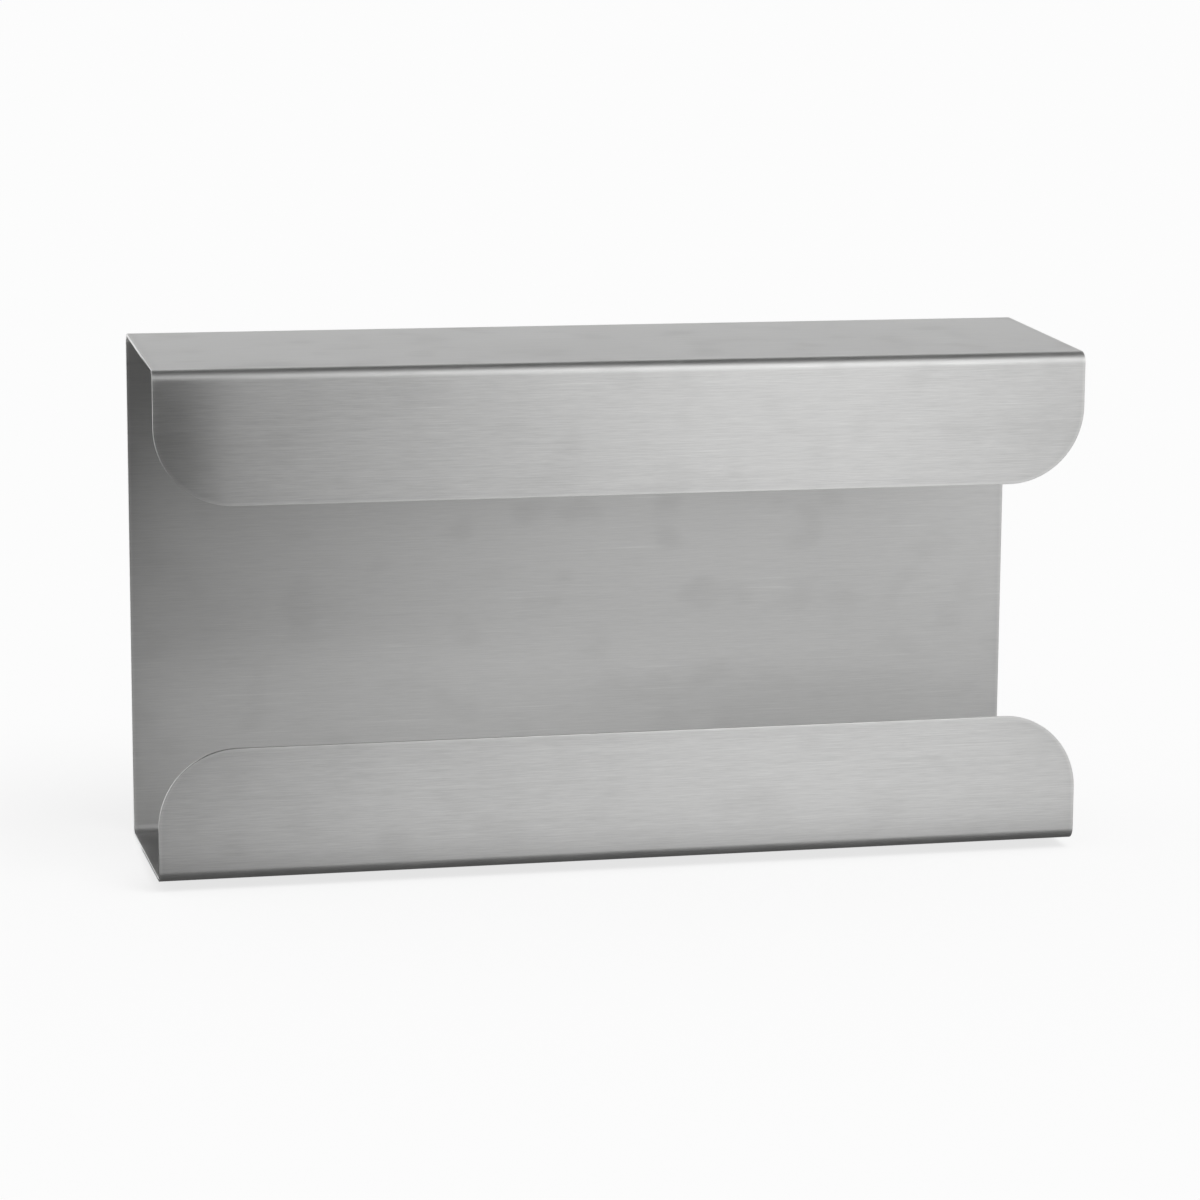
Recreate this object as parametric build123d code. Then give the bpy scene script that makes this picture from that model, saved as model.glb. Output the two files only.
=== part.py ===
from build123d import *
from math import cos, radians, tan
import os

# Wall dispenser for one box of disposable gloves, folded from a single stainless sheet.
# X runs along the bends, the wall face lies at Y = 0 and the lips face -Y, Z is up.
# The origin is the centre of the wall face.

# Driving dimensions, in millimetres and degrees
WIDTH = 260.0  # length of every bend, from one open end to the other
HEIGHT = 145.0  # outside height, over the two bends at the wall
DEPTH = 70.0  # from the wall face to the front of the lips
SHEET = 0.8  # thickness of the sheet
BEND_RADIUS = 2.4  # inside radius of all four bends
CLOSING_ANGLE = 2.5  # how far each flange leans in past square, so that the sheet grips the box
LIP_HEIGHT = 36.5  # each lip, from the outside of its flange to its free edge
LIP_CORNER = 21.5  # round on the free corners of both lips
EDGE_ROUND = 0.2  # deburring of the whole cut edge, on both faces of the sheet

# Outside corners of the fold, before the bends round them
closing = radians(CLOSING_ANGLE)
outer_bend = BEND_RADIUS + SHEET
lost_in_bend = outer_bend * (1 / cos(closing) + tan(closing) - 1)
back_corner = HEIGHT / 2 + lost_in_bend
front_corner = back_corner - DEPTH * tan(closing)
lip_edge = front_corner - LIP_HEIGHT


def folded_section():
    """Section of the sheet across its bends: back plate, two flanges and two lips."""
    with BuildSketch(Plane.YZ) as section:
        with BuildLine():
            FilletPolyline(
                (-DEPTH, lip_edge),
                (-DEPTH, front_corner),
                (0, back_corner),
                (0, -back_corner),
                (-DEPTH, -front_corner),
                (-DEPTH, -lip_edge),
                radius=outer_bend,
            )
            offset(amount=SHEET, side=Side.RIGHT)
        make_face()
    return section.sketch


def round_lip_corners(sheet):
    """Round the four free corners of the lips, right through the sheet."""
    corners = sheet.edges().filter_by(Axis.Y).filter_by_position(Axis.Z, -lip_edge, lip_edge)
    largest = LIP_HEIGHT - outer_bend - SHEET
    return fillet(corners, radius=min(LIP_CORNER, largest))


def deburr(sheet):
    """Soften the cut edge on both faces of the sheet. On each face it runs on smoothly all
    the way round, so the rounding follows it from one upright edge of the back plate."""
    uprights = sheet.edges().filter_by(Axis.Z).group_by(Axis.X)[-1].sort_by(SortBy.LENGTH)[-2:]
    return fillet(uprights, radius=EDGE_ROUND)


folded_sheet = extrude(folded_section(), amount=WIDTH / 2, both=True)
folded_sheet = round_lip_corners(folded_sheet)
folded_sheet = deburr(folded_sheet)

os.makedirs("parts", exist_ok=True)
export_step(folded_sheet, "parts/folded_sheet.step")
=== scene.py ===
"""The looks of a wall dispenser for disposable gloves: one sheet of brushed stainless steel, folded four times.

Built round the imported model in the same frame: X along the bends, the wall face at y = 0, Z up, metres.
"""
import bpy
from math import radians
from mathutils import Matrix, Vector


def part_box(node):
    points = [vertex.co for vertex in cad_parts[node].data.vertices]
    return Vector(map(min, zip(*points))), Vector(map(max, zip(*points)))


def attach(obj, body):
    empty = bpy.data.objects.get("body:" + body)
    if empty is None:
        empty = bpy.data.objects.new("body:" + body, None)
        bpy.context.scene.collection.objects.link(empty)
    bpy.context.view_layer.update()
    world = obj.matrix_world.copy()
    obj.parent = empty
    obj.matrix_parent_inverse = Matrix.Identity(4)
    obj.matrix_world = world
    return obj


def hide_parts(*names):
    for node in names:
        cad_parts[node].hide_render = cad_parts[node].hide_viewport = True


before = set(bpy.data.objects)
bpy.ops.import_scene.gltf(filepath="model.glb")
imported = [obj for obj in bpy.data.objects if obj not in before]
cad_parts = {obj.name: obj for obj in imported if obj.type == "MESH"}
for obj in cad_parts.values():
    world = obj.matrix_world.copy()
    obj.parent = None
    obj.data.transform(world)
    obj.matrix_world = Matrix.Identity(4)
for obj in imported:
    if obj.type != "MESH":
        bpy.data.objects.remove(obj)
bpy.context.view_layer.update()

# Sizes of the fold, in metres, and its angle in radians. Width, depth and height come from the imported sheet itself.
SHEET = 0.0008
BEND_RADIUS = 0.0024
CLOSING_ANGLE = radians(2.5)
LIP_HEIGHT = 0.0365
LIP_CORNER = 0.0215
EDGE_ROUND = 0.0002

# How finely each part of the fold is divided
CORNER_STEPS = 32
BEND_STEPS = 20
RIM_STEPS = 4

# Numbers that the fold leaves on the sheet for its finish
STRIP = "along_strip"
CUT = "on_cut"

# How far behind the sheet the middle of its texture space lies
SHEEN_REACH = 40.0


# Node trees

class Field:
    """A node socket that arithmetic can be written on: each operator adds a Math node to its tree."""

    def __init__(self, tree, socket):
        self.tree = tree
        self.socket = socket

    def math(self, operation, *values, clamp=False):
        settings = {"operation": operation, "use_clamp": clamp}
        return self.tree.add("ShaderNodeMath", settings, dict(enumerate((self, *values))))

    def turned(self, operation, first):
        """The same with a plain number in front, for 1 - mask and the like."""
        return self.tree.add("ShaderNodeMath", {"operation": operation}, {0: first, 1: self})

    def __add__(self, other):
        return self.math("ADD", other)

    def __sub__(self, other):
        return self.math("SUBTRACT", other)

    def __mul__(self, other):
        return self.math("MULTIPLY", other)

    def __truediv__(self, other):
        return self.math("DIVIDE", other)

    def __rsub__(self, other):
        return self.turned("SUBTRACT", other)

    def __rtruediv__(self, other):
        return self.turned("DIVIDE", other)

    __radd__ = __add__
    __rmul__ = __mul__

    def clamp(self):
        """Held between 0 and 1."""
        return self.math("ADD", 0.0, clamp=True)

    def size(self):
        return self.math("ABSOLUTE")

    def sin(self):
        return self.math("SINE")

    def cos(self):
        return self.math("COSINE")

    def tan(self):
        return self.math("TANGENT")

    def over(self, low, high):
        """0 below low, 1 above high, and a smooth step between them."""
        sockets = {"Value": self, "From Min": low, "From Max": high}
        return self.tree.add("ShaderNodeMapRange", {"interpolation_type": "SMOOTHSTEP"}, sockets)


class Tree:
    """A node tree, with the one method that adds a node to it."""

    def __init__(self, node_tree):
        self.node_tree = node_tree
        node_tree.nodes.clear()

    def add(self, kind, settings=(), sockets=(), output=0):
        """Adds a node, and returns the output that is asked for, or the node itself if it has none."""
        node = self.node_tree.nodes.new(kind)
        for name, value in dict(settings).items():
            setattr(node, name, value)
        for name, value in dict(sockets).items():
            if isinstance(value, Field):
                self.node_tree.links.new(value.socket, node.inputs[name])
            else:
                node.inputs[name].default_value = value
        return Field(self, node.outputs[output]) if node.outputs else node

    def vector(self, x, y, z):
        return self.add("ShaderNodeCombineXYZ", (), {0: x, 1: y, 2: z})

    def mark(self, geometry, name, value):
        """Stores a number on every point."""
        return self.add("GeometryNodeStoreNamedAttribute", {"data_type": "FLOAT", "domain": "POINT"},
                        {"Geometry": geometry, "Name": name, "Value": value})

    def parts(self, vector):
        """The x, y and z of a vector."""
        node = self.add("ShaderNodeSeparateXYZ", (), {0: vector}).socket.node
        return [Field(self, socket) for socket in node.outputs]


# The folded sheet

FOLD_SIZES = ("Width", "Depth", "Height", "Sheet", "Bend Radius", "Closing Angle",
              "Lip Height", "Lip Corner", "Edge Round")


def fold_tree(material):
    """Geometry Nodes that fold the sheet. A block is divided along the strip, round its rim and through
    its thickness, and every point of it is then moved to its place on the folded sheet."""
    group = bpy.data.node_groups.new("fold_one_sheet", "GeometryNodeTree")
    tree = Tree(group)
    group.interface.new_socket("Geometry", in_out="OUTPUT", socket_type="NodeSocketGeometry")
    for name in FOLD_SIZES:
        group.interface.new_socket(name, in_out="INPUT", socket_type="NodeSocketFloat")
    entry = tree.add("NodeGroupInput").socket.node
    width, depth, height, sheet, bend, closing, lip_height, corner, edge = (
        Field(tree, entry.outputs[name]) for name in FOLD_SIZES)

    # The block: one side and the other, rows from lip edge to lip edge, steps from outer to inner face
    rows = CORNER_STEPS + 2 * BEND_STEPS + 3
    steps = 2 * RIM_STEPS + 1
    block = tree.add("GeometryNodeMeshCube", (), {
        "Size": (2.0, 2.0 * rows, float(steps)),
        "Vertices X": 2, "Vertices Y": 2 * rows + 1, "Vertices Z": steps + 1})
    side, row, level = tree.parts(tree.add("GeometryNodeInputPosition"))
    upper = row.math("SIGN")
    from_edge = rows - row.size()
    step = level + steps / 2

    # How far along each stretch a row lies, from the lip's free edge to the middle of the back plate
    round_corner = (from_edge / CORNER_STEPS).clamp() * radians(90)
    along_lip = (from_edge - CORNER_STEPS).clamp()
    front_bend = ((from_edge - (CORNER_STEPS + 1)) / BEND_STEPS).clamp()
    along_flange = (from_edge - (CORNER_STEPS + 1 + BEND_STEPS)).clamp()
    back_bend = ((from_edge - (CORNER_STEPS + 2 + BEND_STEPS)) / BEND_STEPS).clamp()
    down_back = (from_edge - (CORNER_STEPS + 2 + 2 * BEND_STEPS)).clamp()

    # The rim: a small round at the outer face, the cut, and a small round at the inner face
    first_round = (step / RIM_STEPS).clamp() * radians(90)
    cut = (step - RIM_STEPS).clamp()
    second_round = ((step - (RIM_STEPS + 1)) / RIM_STEPS).clamp() * radians(90)
    inset = edge * (1 - first_round.sin()) + edge * (1 - second_round.cos())
    into_sheet = edge * (1 - first_round.cos()) + (sheet - 2 * edge) * cut + edge * second_round.sin()

    # The fold itself, from the same lines as the drawing
    outer_bend = bend + sheet
    reach = corner - inset
    run = depth - 2 * outer_bend
    back_centre = height / 2 - outer_bend
    front_centre = back_centre - run * closing.tan()
    lip_edge = front_centre + outer_bend * (1 / closing.cos() - closing.tan()) - lip_height
    from_lip_edge = corner - reach * round_corner.cos()
    x = side * (width / 2 - corner + reach * round_corner.sin())
    centre_y = outer_bend - depth + run * along_flange
    centre_z = (lip_edge + from_lip_edge + (front_centre - lip_edge - corner) * along_lip
                + run * closing.tan() * along_flange - back_centre * down_back)
    turn = (radians(90) - closing) * front_bend + (radians(90) + closing) * back_bend
    radius = outer_bend - into_sheet
    y = centre_y - radius * turn.cos()
    z = upper * (centre_z + radius * turn.sin())

    # Where each point lay on the flat sheet, from its middle line, and whether it is on the sheared cut
    middle_bend = bend + sheet / 2
    to_lip_edge = (from_lip_edge + (front_centre - lip_edge - corner) * along_lip + middle_bend * turn
                   + run / closing.cos() * along_flange + back_centre * down_back)
    half_strip = front_centre - lip_edge + middle_bend * radians(180) + run / closing.cos() + back_centre
    on_cut = (steps / 2 - level.size()).clamp()

    # The block is marked before it is moved, because these numbers read its points where they are
    marked = tree.mark(block, STRIP, upper * (half_strip - to_lip_edge))
    marked = tree.mark(marked, CUT, on_cut)
    folded = tree.add("GeometryNodeSetPosition", (), {"Geometry": marked, "Position": tree.vector(x, y, z)})
    smooth = tree.add("GeometryNodeSetShadeSmooth", (), {"Geometry": folded})
    real = tree.add("GeometryNodeRealizeInstances", (), {"Geometry": smooth})
    dressed = tree.add("GeometryNodeSetMaterial", (), {"Geometry": real, "Material": material})
    tree.add("NodeGroupOutput", (), {"Geometry": dressed})
    return group


def fold_sheet(name, node, material):
    """The folded sheet as one closed mesh, as wide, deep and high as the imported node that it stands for."""
    low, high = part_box(node)
    width, depth, height = high - low
    sizes = (width, depth, height, SHEET, BEND_RADIUS, CLOSING_ANGLE, LIP_HEIGHT, LIP_CORNER, EDGE_ROUND)
    piece = bpy.data.objects.new(name, bpy.data.meshes.new(name))
    bpy.context.scene.collection.objects.link(piece)
    group = fold_tree(material)
    fold = piece.modifiers.new("fold", "NODES")
    fold.node_group = group
    sockets = {item.name: item.identifier for item in group.interface.items_tree if item.in_out == "INPUT"}
    for size_name, value in zip(FOLD_SIZES, sizes):
        fold[sockets[size_name]] = value
    even = piece.modifiers.new("even shading", "WEIGHTED_NORMAL")
    even.keep_sharp = False
    settled = piece.evaluated_get(bpy.context.evaluated_depsgraph_get())
    mesh = bpy.data.meshes.new_from_object(settled)
    piece.modifiers.clear()
    piece.data = mesh
    mesh.name = name
    # The shader turns its brushed sheen by the mesh's own texture space: with its middle this far off to the
    # back, the sheen lies along the bends on every side of the sheet
    mesh.use_auto_texspace = False
    mesh.texspace_location = (0.0, SHEEN_REACH, 0.0)
    mesh.texspace_size = (1.0, 1.0, 1.0)
    return piece


# Brushed stainless steel

STEEL_TONE = 0.65
STEEL_ROUGH = 0.44
BLUE_SHARE = 0.992

# How far the sheen is drawn out, and the quarter turn that draws it out across the grain
BRUSHED = 0.55
BRUSHED_ACROSS = 0.25

# Patterns of the brushing and of use: length and width of one mark in millimetres, where its pattern starts,
# detail, and how rough the detail is
STREAKS = {
    "fine": (7.0, 0.36, 3.1, 3.0, 0.65),
    "hair": (26.0, 0.30, 71.4, 1.0, 0.5),
    "broad": (55.0, 1.6, 17.7, 2.0, 0.5),
    "cloud": (22.0, 24.0, 41.3, 1.0, 0.5),
    "smudge": (15.0, 13.0, 8.8, 1.0, 0.5),
    "scratch": (38.0, 0.55, 53.9, 0.0, 0.5),
}

# The part of a pattern that shows as a smudge or a scratch: from nothing to full strength
SMUDGE_SHOWS = (0.52, 0.80)
SCRATCH_SHOWS = (0.80, 0.86)

# What each mark adds to the steel's tone and to its roughness
MARKS = {
    "fine": (0.14, 0.10),
    "hair": (0.06, 0.04),
    "broad": (0.05, 0.04),
    "cloud": (0.042, 0.05),
    "smudge": (-0.016, 0.025),
    "scratch": (0.03, -0.06),
    # The two edge marks are painted light: painted shade in a band inside the free edges, and a painted highlight in
    # a line at them
    "painted_edge_shade": (-0.020, 0.02),
    "painted_edge_highlight": (0.08, 0.0),
    "fold_rub": (0.008, -0.02),
    "cut": (0.08, -0.08),
}

# Marks that show more on the lips than on the back plate and the flanges, and how much on each
GRAIN = ("fine", "hair", "broad")
PLATE_GRAIN = 0.8
LIP_GRAIN = 1.3

# Height of the grain in metres, how deep a scratch is beside it, widths of the painted shade and the painted
# highlight along the free edges, and width of the rubbed folds, in metres
GRAIN_HEIGHT = 0.0000012
SCRATCH_DEPTH = 0.3
EDGE_PAINTED_SHADE_WIDTH = 0.0032
EDGE_PAINTED_HIGHLIGHT_WIDTH = 0.0012
FOLD_RUB = 0.0050


def brushed_stainless(material, half_width, half_strip):
    """Satin stainless: grain brushed along the bends, faint smudges, painted shade and a painted highlight along the
    free edges, and bright cut rims.
    """
    material.use_nodes = True
    tree = Tree(material.node_tree)
    x = tree.parts(tree.add("ShaderNodeTexCoord", (), (), "Object"))[0]
    strip = tree.add("ShaderNodeAttribute", {"attribute_name": STRIP}, (), "Fac")

    def streaks(name):
        """Noise on the flat sheet, drawn out along the grain."""
        length, across, start, detail, roughness = STREAKS[name]
        spot = tree.vector(x * (1000.0 / length) + start, strip * (1000.0 / across) - start, 0.0)
        return tree.add("ShaderNodeTexNoise", {"noise_dimensions": "2D"},
                        {"Vector": spot, "Scale": 1.0, "Detail": detail, "Roughness": roughness})

    # The belt's streaks, its broader bands and soft clouds, then smudges of hands and a few faint scratches
    marks = {name: streaks(name) - 0.5 for name in ("fine", "hair", "broad", "cloud")}
    marks["smudge"] = streaks("smudge").over(*SMUDGE_SHOWS)
    marks["scratch"] = streaks("scratch").over(*SCRATCH_SHOWS)

    # Painted shade in a band inside the free edges, round the lips' corners too, and a painted highlight in a lighter
    # line at the edge
    past_side = (LIP_CORNER - (half_width - x.size())).math("MAXIMUM", 0.0)
    past_end = (LIP_CORNER - (half_strip - strip.size())).math("MAXIMUM", 0.0)
    from_edge = LIP_CORNER - (past_side * past_side + past_end * past_end).math("SQRT")
    marks["painted_edge_shade"] = 1.0 - from_edge.over(0.0, EDGE_PAINTED_SHADE_WIDTH)
    marks["painted_edge_highlight"] = 1.0 - from_edge.over(EDGE_ROUND, EDGE_PAINTED_HIGHLIGHT_WIDTH)

    # A light rub along the front folds, and the rims where the sheet was cut
    front_fold = half_strip - LIP_HEIGHT
    marks["fold_rub"] = 1.0 - (strip.size() - front_fold).size().over(0.0, FOLD_RUB)
    marks["cut"] = tree.add("ShaderNodeAttribute", {"attribute_name": CUT}, (), "Fac")

    on_lip = strip.size().over(front_fold, front_fold + FOLD_RUB)
    grain_shows = PLATE_GRAIN + on_lip * (LIP_GRAIN - PLATE_GRAIN)
    tone, rough = STEEL_TONE, STEEL_ROUGH
    for name, (to_tone, to_rough) in MARKS.items():
        shows = marks[name] * grain_shows if name in GRAIN else marks[name]
        tone = tone + shows * to_tone
        rough = rough + marks[name] * to_rough
    colour = tree.add("ShaderNodeCombineColor", (), {"Red": tone, "Green": tone, "Blue": tone * BLUE_SHARE})
    height = marks["fine"] + marks["hair"] - marks["scratch"] * SCRATCH_DEPTH
    grooves = tree.add("ShaderNodeBump", (), {"Strength": 1.0, "Distance": GRAIN_HEIGHT, "Height": height})
    shader = tree.add("ShaderNodeBsdfPrincipled", (), {
        "Base Color": colour, "Metallic": 1.0, "Roughness": rough, "Normal": grooves,
        "Anisotropic": BRUSHED, "Anisotropic Rotation": BRUSHED_ACROSS})
    tree.add("ShaderNodeOutputMaterial", (), {"Surface": shader})


# Studio

WHITE = (1.0, 1.0, 1.0, 1.0)
FLOOR_WHITE = (0.92, 0.92, 0.92, 1.0)
FLOOR_HEIGHT = -0.0725
FLOOR_REACH = 20.0
FLOOR_GLOW = 0.75
WORLD_LIGHT = 0.55

# The camera where the photograph was taken from, found by fitting the sheet's outline to it
CAMERA_PLACE = (-0.23407, -1.07549, 0.19002)
CAMERA_FORWARD = (0.21551, 0.96025, -0.17742)
CAMERA_RIGHT = (0.97593, -0.21804, 0.00535)
CAMERA_LENS = 114.72
CAMERA_SENSOR = 36.0

# Places of the studio cards: the wall of light in front of the sheet, its lower and upper part, the ceiling,
# and a little above the floor
FRONT_WALL = -0.45
WALL_MIDDLE = 0.24
CEILING = 0.5
SIDE_REACH = 1.2
NEAR_FLOOR = FLOOR_HEIGHT + 0.001
UNDER_SHEET = FLOOR_HEIGHT + 0.0003
BACK, FRONT, RIGHT, DOWN, UP = (0, 1, 0), (0, -1, 0), (1, 0, 0), (0, 0, -1), (0, 0, 1)

# Each card's lowest and highest corner, the side it faces, and its levels: (x, brightness) pairs
STUDIO_CARDS = {
    # In front: dark on the left, brightest before the right half of the sheet, grey at the far right
    "softbox": ((-0.9, FRONT_WALL, NEAR_FLOOR), (0.25, FRONT_WALL, WALL_MIDDLE), BACK,
                [(-0.13, 0.07), (0.02, 0.64), (0.12, 1.30)]),
    "grey_card_right": ((0.25, FRONT_WALL, NEAR_FLOOR), (SIDE_REACH, FRONT_WALL, WALL_MIDDLE), BACK,
                        [(0.25, 0.65), (0.5, 0.35)]),
    "upper_softbox": ((-SIDE_REACH, FRONT_WALL, WALL_MIDDLE), (SIDE_REACH, FRONT_WALL, CEILING), BACK,
                      [(-0.10, 0.7), (0.02, 1.4), (0.10, 2.15), (0.3, 1.8)]),
    # Overhead, for the dark line along the top front fold
    "dark_ceiling": ((-SIDE_REACH, -0.32, CEILING), (SIDE_REACH, 0.36, CEILING), DOWN, [(0.0, 0.06)]),
    # On the floor in front, and the sheet's own shade under it, for the dark bottom fold
    "floor_far": ((-SIDE_REACH, FRONT_WALL, NEAR_FLOOR), (SIDE_REACH, -0.2, NEAR_FLOOR), UP,
                  [(-0.15, 0.1), (0.05, 0.45)]),
    "floor_near": ((-SIDE_REACH, -0.2, NEAR_FLOOR), (SIDE_REACH, -0.086, NEAR_FLOOR), UP,
                   [(-0.2, 0.3), (-0.05, 0.85), (0.1, 0.9), (0.3, 0.7)]),
    "floor_shade": ((-0.5, -0.086, UNDER_SHEET), (0.5, -0.02, UNDER_SHEET), UP, [(0.0, 0.10)]),
    # In the bay: light from the lower lip, and shade behind the upper lip, at the left end and at the heel
    "bay_card": ((-0.125, -0.068, -0.069), (0.125, -0.068, -0.037), BACK,
                 [(-0.1, 0.68), (-0.02, 0.76), (0.08, 0.58)]),
    "lip_shade": ((-0.129, -0.0688, 0.037), (-0.06, -0.0688, 0.068), BACK, [(-0.10, 0.0), (-0.06, 0.2)]),
    "end_shade": ((-0.131, -0.066, 0.0), (-0.131, -0.004, 0.07), RIGHT, [(0.0, 0.03)]),
    "heel_shade": ((-0.13, -0.001, -0.069), (-0.09, -0.001, -0.015), FRONT, [(0.0, 0.05)]),
    # Close in front of the upper lip's left end
    "near_flag": ((-0.25, -0.11, 0.0), (-0.106, -0.11, 0.09), BACK, [(0.0, 0.06)]),
}


def seen(tree):
    """1 for the rays that show the background: the camera's, and what metal and glass pass on."""
    node = tree.add("ShaderNodeLightPath").socket.node
    camera, glossy, through = (Field(tree, node.outputs[name]) for name in (
        "Is Camera Ray", "Is Glossy Ray", "Is Transmission Ray"))
    return (camera + glossy + through).clamp()


def white_world():
    """White where it is seen, and a plain level of light on everything else."""
    world = bpy.data.worlds.new("white_studio")
    world.use_nodes = True
    tree = Tree(world.node_tree)
    level = WORLD_LIGHT + seen(tree) * (1.0 - WORLD_LIGHT)
    back = tree.add("ShaderNodeBackground", (), {"Color": WHITE, "Strength": level})
    tree.add("ShaderNodeOutputWorld", (), {"Surface": back})
    bpy.context.scene.world = world


def pale_floor():
    """A pale floor that keeps the sheet's shadow. Most of what the camera sees of it is its own white."""
    material = bpy.data.materials.new("pale_floor")
    material.use_nodes = True
    tree = Tree(material.node_tree)
    matt = tree.add("ShaderNodeBsdfDiffuse", (), {"Color": FLOOR_WHITE})
    glow = tree.add("ShaderNodeEmission", (), {"Color": WHITE, "Strength": 1.0})
    mixed = tree.add("ShaderNodeMixShader", (), {0: seen(tree) * FLOOR_GLOW, 1: matt, 2: glow})
    tree.add("ShaderNodeOutputMaterial", (), {"Surface": mixed})
    mesh = bpy.data.meshes.new("floor")
    corners = [(side * FLOOR_REACH, end * FLOOR_REACH, FLOOR_HEIGHT)
               for side, end in ((-1, -1), (1, -1), (1, 1), (-1, 1))]
    mesh.from_pydata(corners, [], [(0, 1, 2, 3)])
    mesh.materials.append(material)
    floor = bpy.data.objects.new("floor", mesh)
    bpy.context.scene.collection.objects.link(floor)


def card(name, low, high, facing, levels):
    """A studio card, flat between two corners, that only shows in the metal's reflections, on the side that it
    faces. Its levels are (x, brightness) pairs, with a smooth change from each to the next."""
    material = bpy.data.materials.new(name)
    material.use_nodes = True
    tree = Tree(material.node_tree)
    x = tree.parts(tree.add("ShaderNodeTexCoord", (), (), "Object"))[0]
    level = levels[0][1]
    for (x_start, start), (x_end, end) in zip(levels, levels[1:]):
        level = level + x.over(x_start, x_end) * (end - start)
    glow = tree.add("ShaderNodeEmission", (), {"Color": WHITE, "Strength": level})
    clear = tree.add("ShaderNodeBsdfTransparent")
    behind = tree.add("ShaderNodeNewGeometry", (), (), "Backfacing")
    one_sided = tree.add("ShaderNodeMixShader", (), {0: behind, 1: glow, 2: clear})
    tree.add("ShaderNodeOutputMaterial", (), {"Surface": one_sided})
    low, high = Vector(low), Vector(high)
    flat = min(range(3), key=lambda axis: high[axis] - low[axis])
    along, up = [axis for axis in range(3) if axis != flat]
    corners = [low.copy() for corner in range(4)]
    corners[1][along] = corners[2][along] = high[along]
    corners[2][up] = corners[3][up] = high[up]
    if (corners[1] - corners[0]).cross(corners[3] - corners[0]).dot(Vector(facing)) < 0:
        corners.reverse()
    mesh = bpy.data.meshes.new(name)
    mesh.from_pydata(corners, [], [(0, 1, 2, 3)])
    mesh.materials.append(material)
    piece = bpy.data.objects.new(name, mesh)
    bpy.context.scene.collection.objects.link(piece)
    piece.visible_camera = False
    piece.visible_diffuse = False
    piece.visible_shadow = False
    piece.visible_transmission = False


def soft_sun(name, direction, strength, spread):
    """A wide soft lamp far away. It lights the floor evenly, and the metal doesn't mirror it."""
    lamp = bpy.data.lights.new(name, "SUN")
    lamp.energy = strength
    lamp.angle = radians(spread)
    piece = bpy.data.objects.new(name, lamp)
    piece.rotation_euler = Vector(direction).to_track_quat("-Z", "Y").to_euler()
    piece.visible_glossy = False
    bpy.context.scene.collection.objects.link(piece)


def photo_camera():
    """Sets up the camera at the photograph's viewing angle."""
    lens = bpy.data.cameras.new("camera")
    lens.lens = CAMERA_LENS
    lens.sensor_width = CAMERA_SENSOR
    lens.clip_start = 0.05
    lens.clip_end = 60.0
    piece = bpy.data.objects.new("camera", lens)
    forward = Vector(CAMERA_FORWARD)
    right = Vector(CAMERA_RIGHT)
    up = right.cross(forward)
    right, up, forward = right.normalized(), up.normalized(), forward.normalized()
    turn = Matrix((right, up, -forward)).transposed().to_4x4()
    piece.matrix_world = Matrix.Translation(CAMERA_PLACE) @ turn
    bpy.context.scene.collection.objects.link(piece)
    bpy.context.scene.camera = piece


steel = bpy.data.materials.new("brushed_stainless")
sheet = fold_sheet("dressed_sheet", "folded_sheet", steel)
half_strip = max(mark.value for mark in sheet.data.attributes[STRIP].data)
brushed_stainless(steel, sheet.dimensions.x / 2, half_strip)
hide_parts("folded_sheet")
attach(sheet, "root")

white_world()
pale_floor()
soft_sun("key_lamp", direction=(-0.35, 0.55, -1.0), strength=1.6, spread=40.0)
for name, (low, high, facing, levels) in STUDIO_CARDS.items():
    card(name, low, high, facing, levels)
photo_camera()
bpy.context.scene.view_settings.view_transform = "Standard"
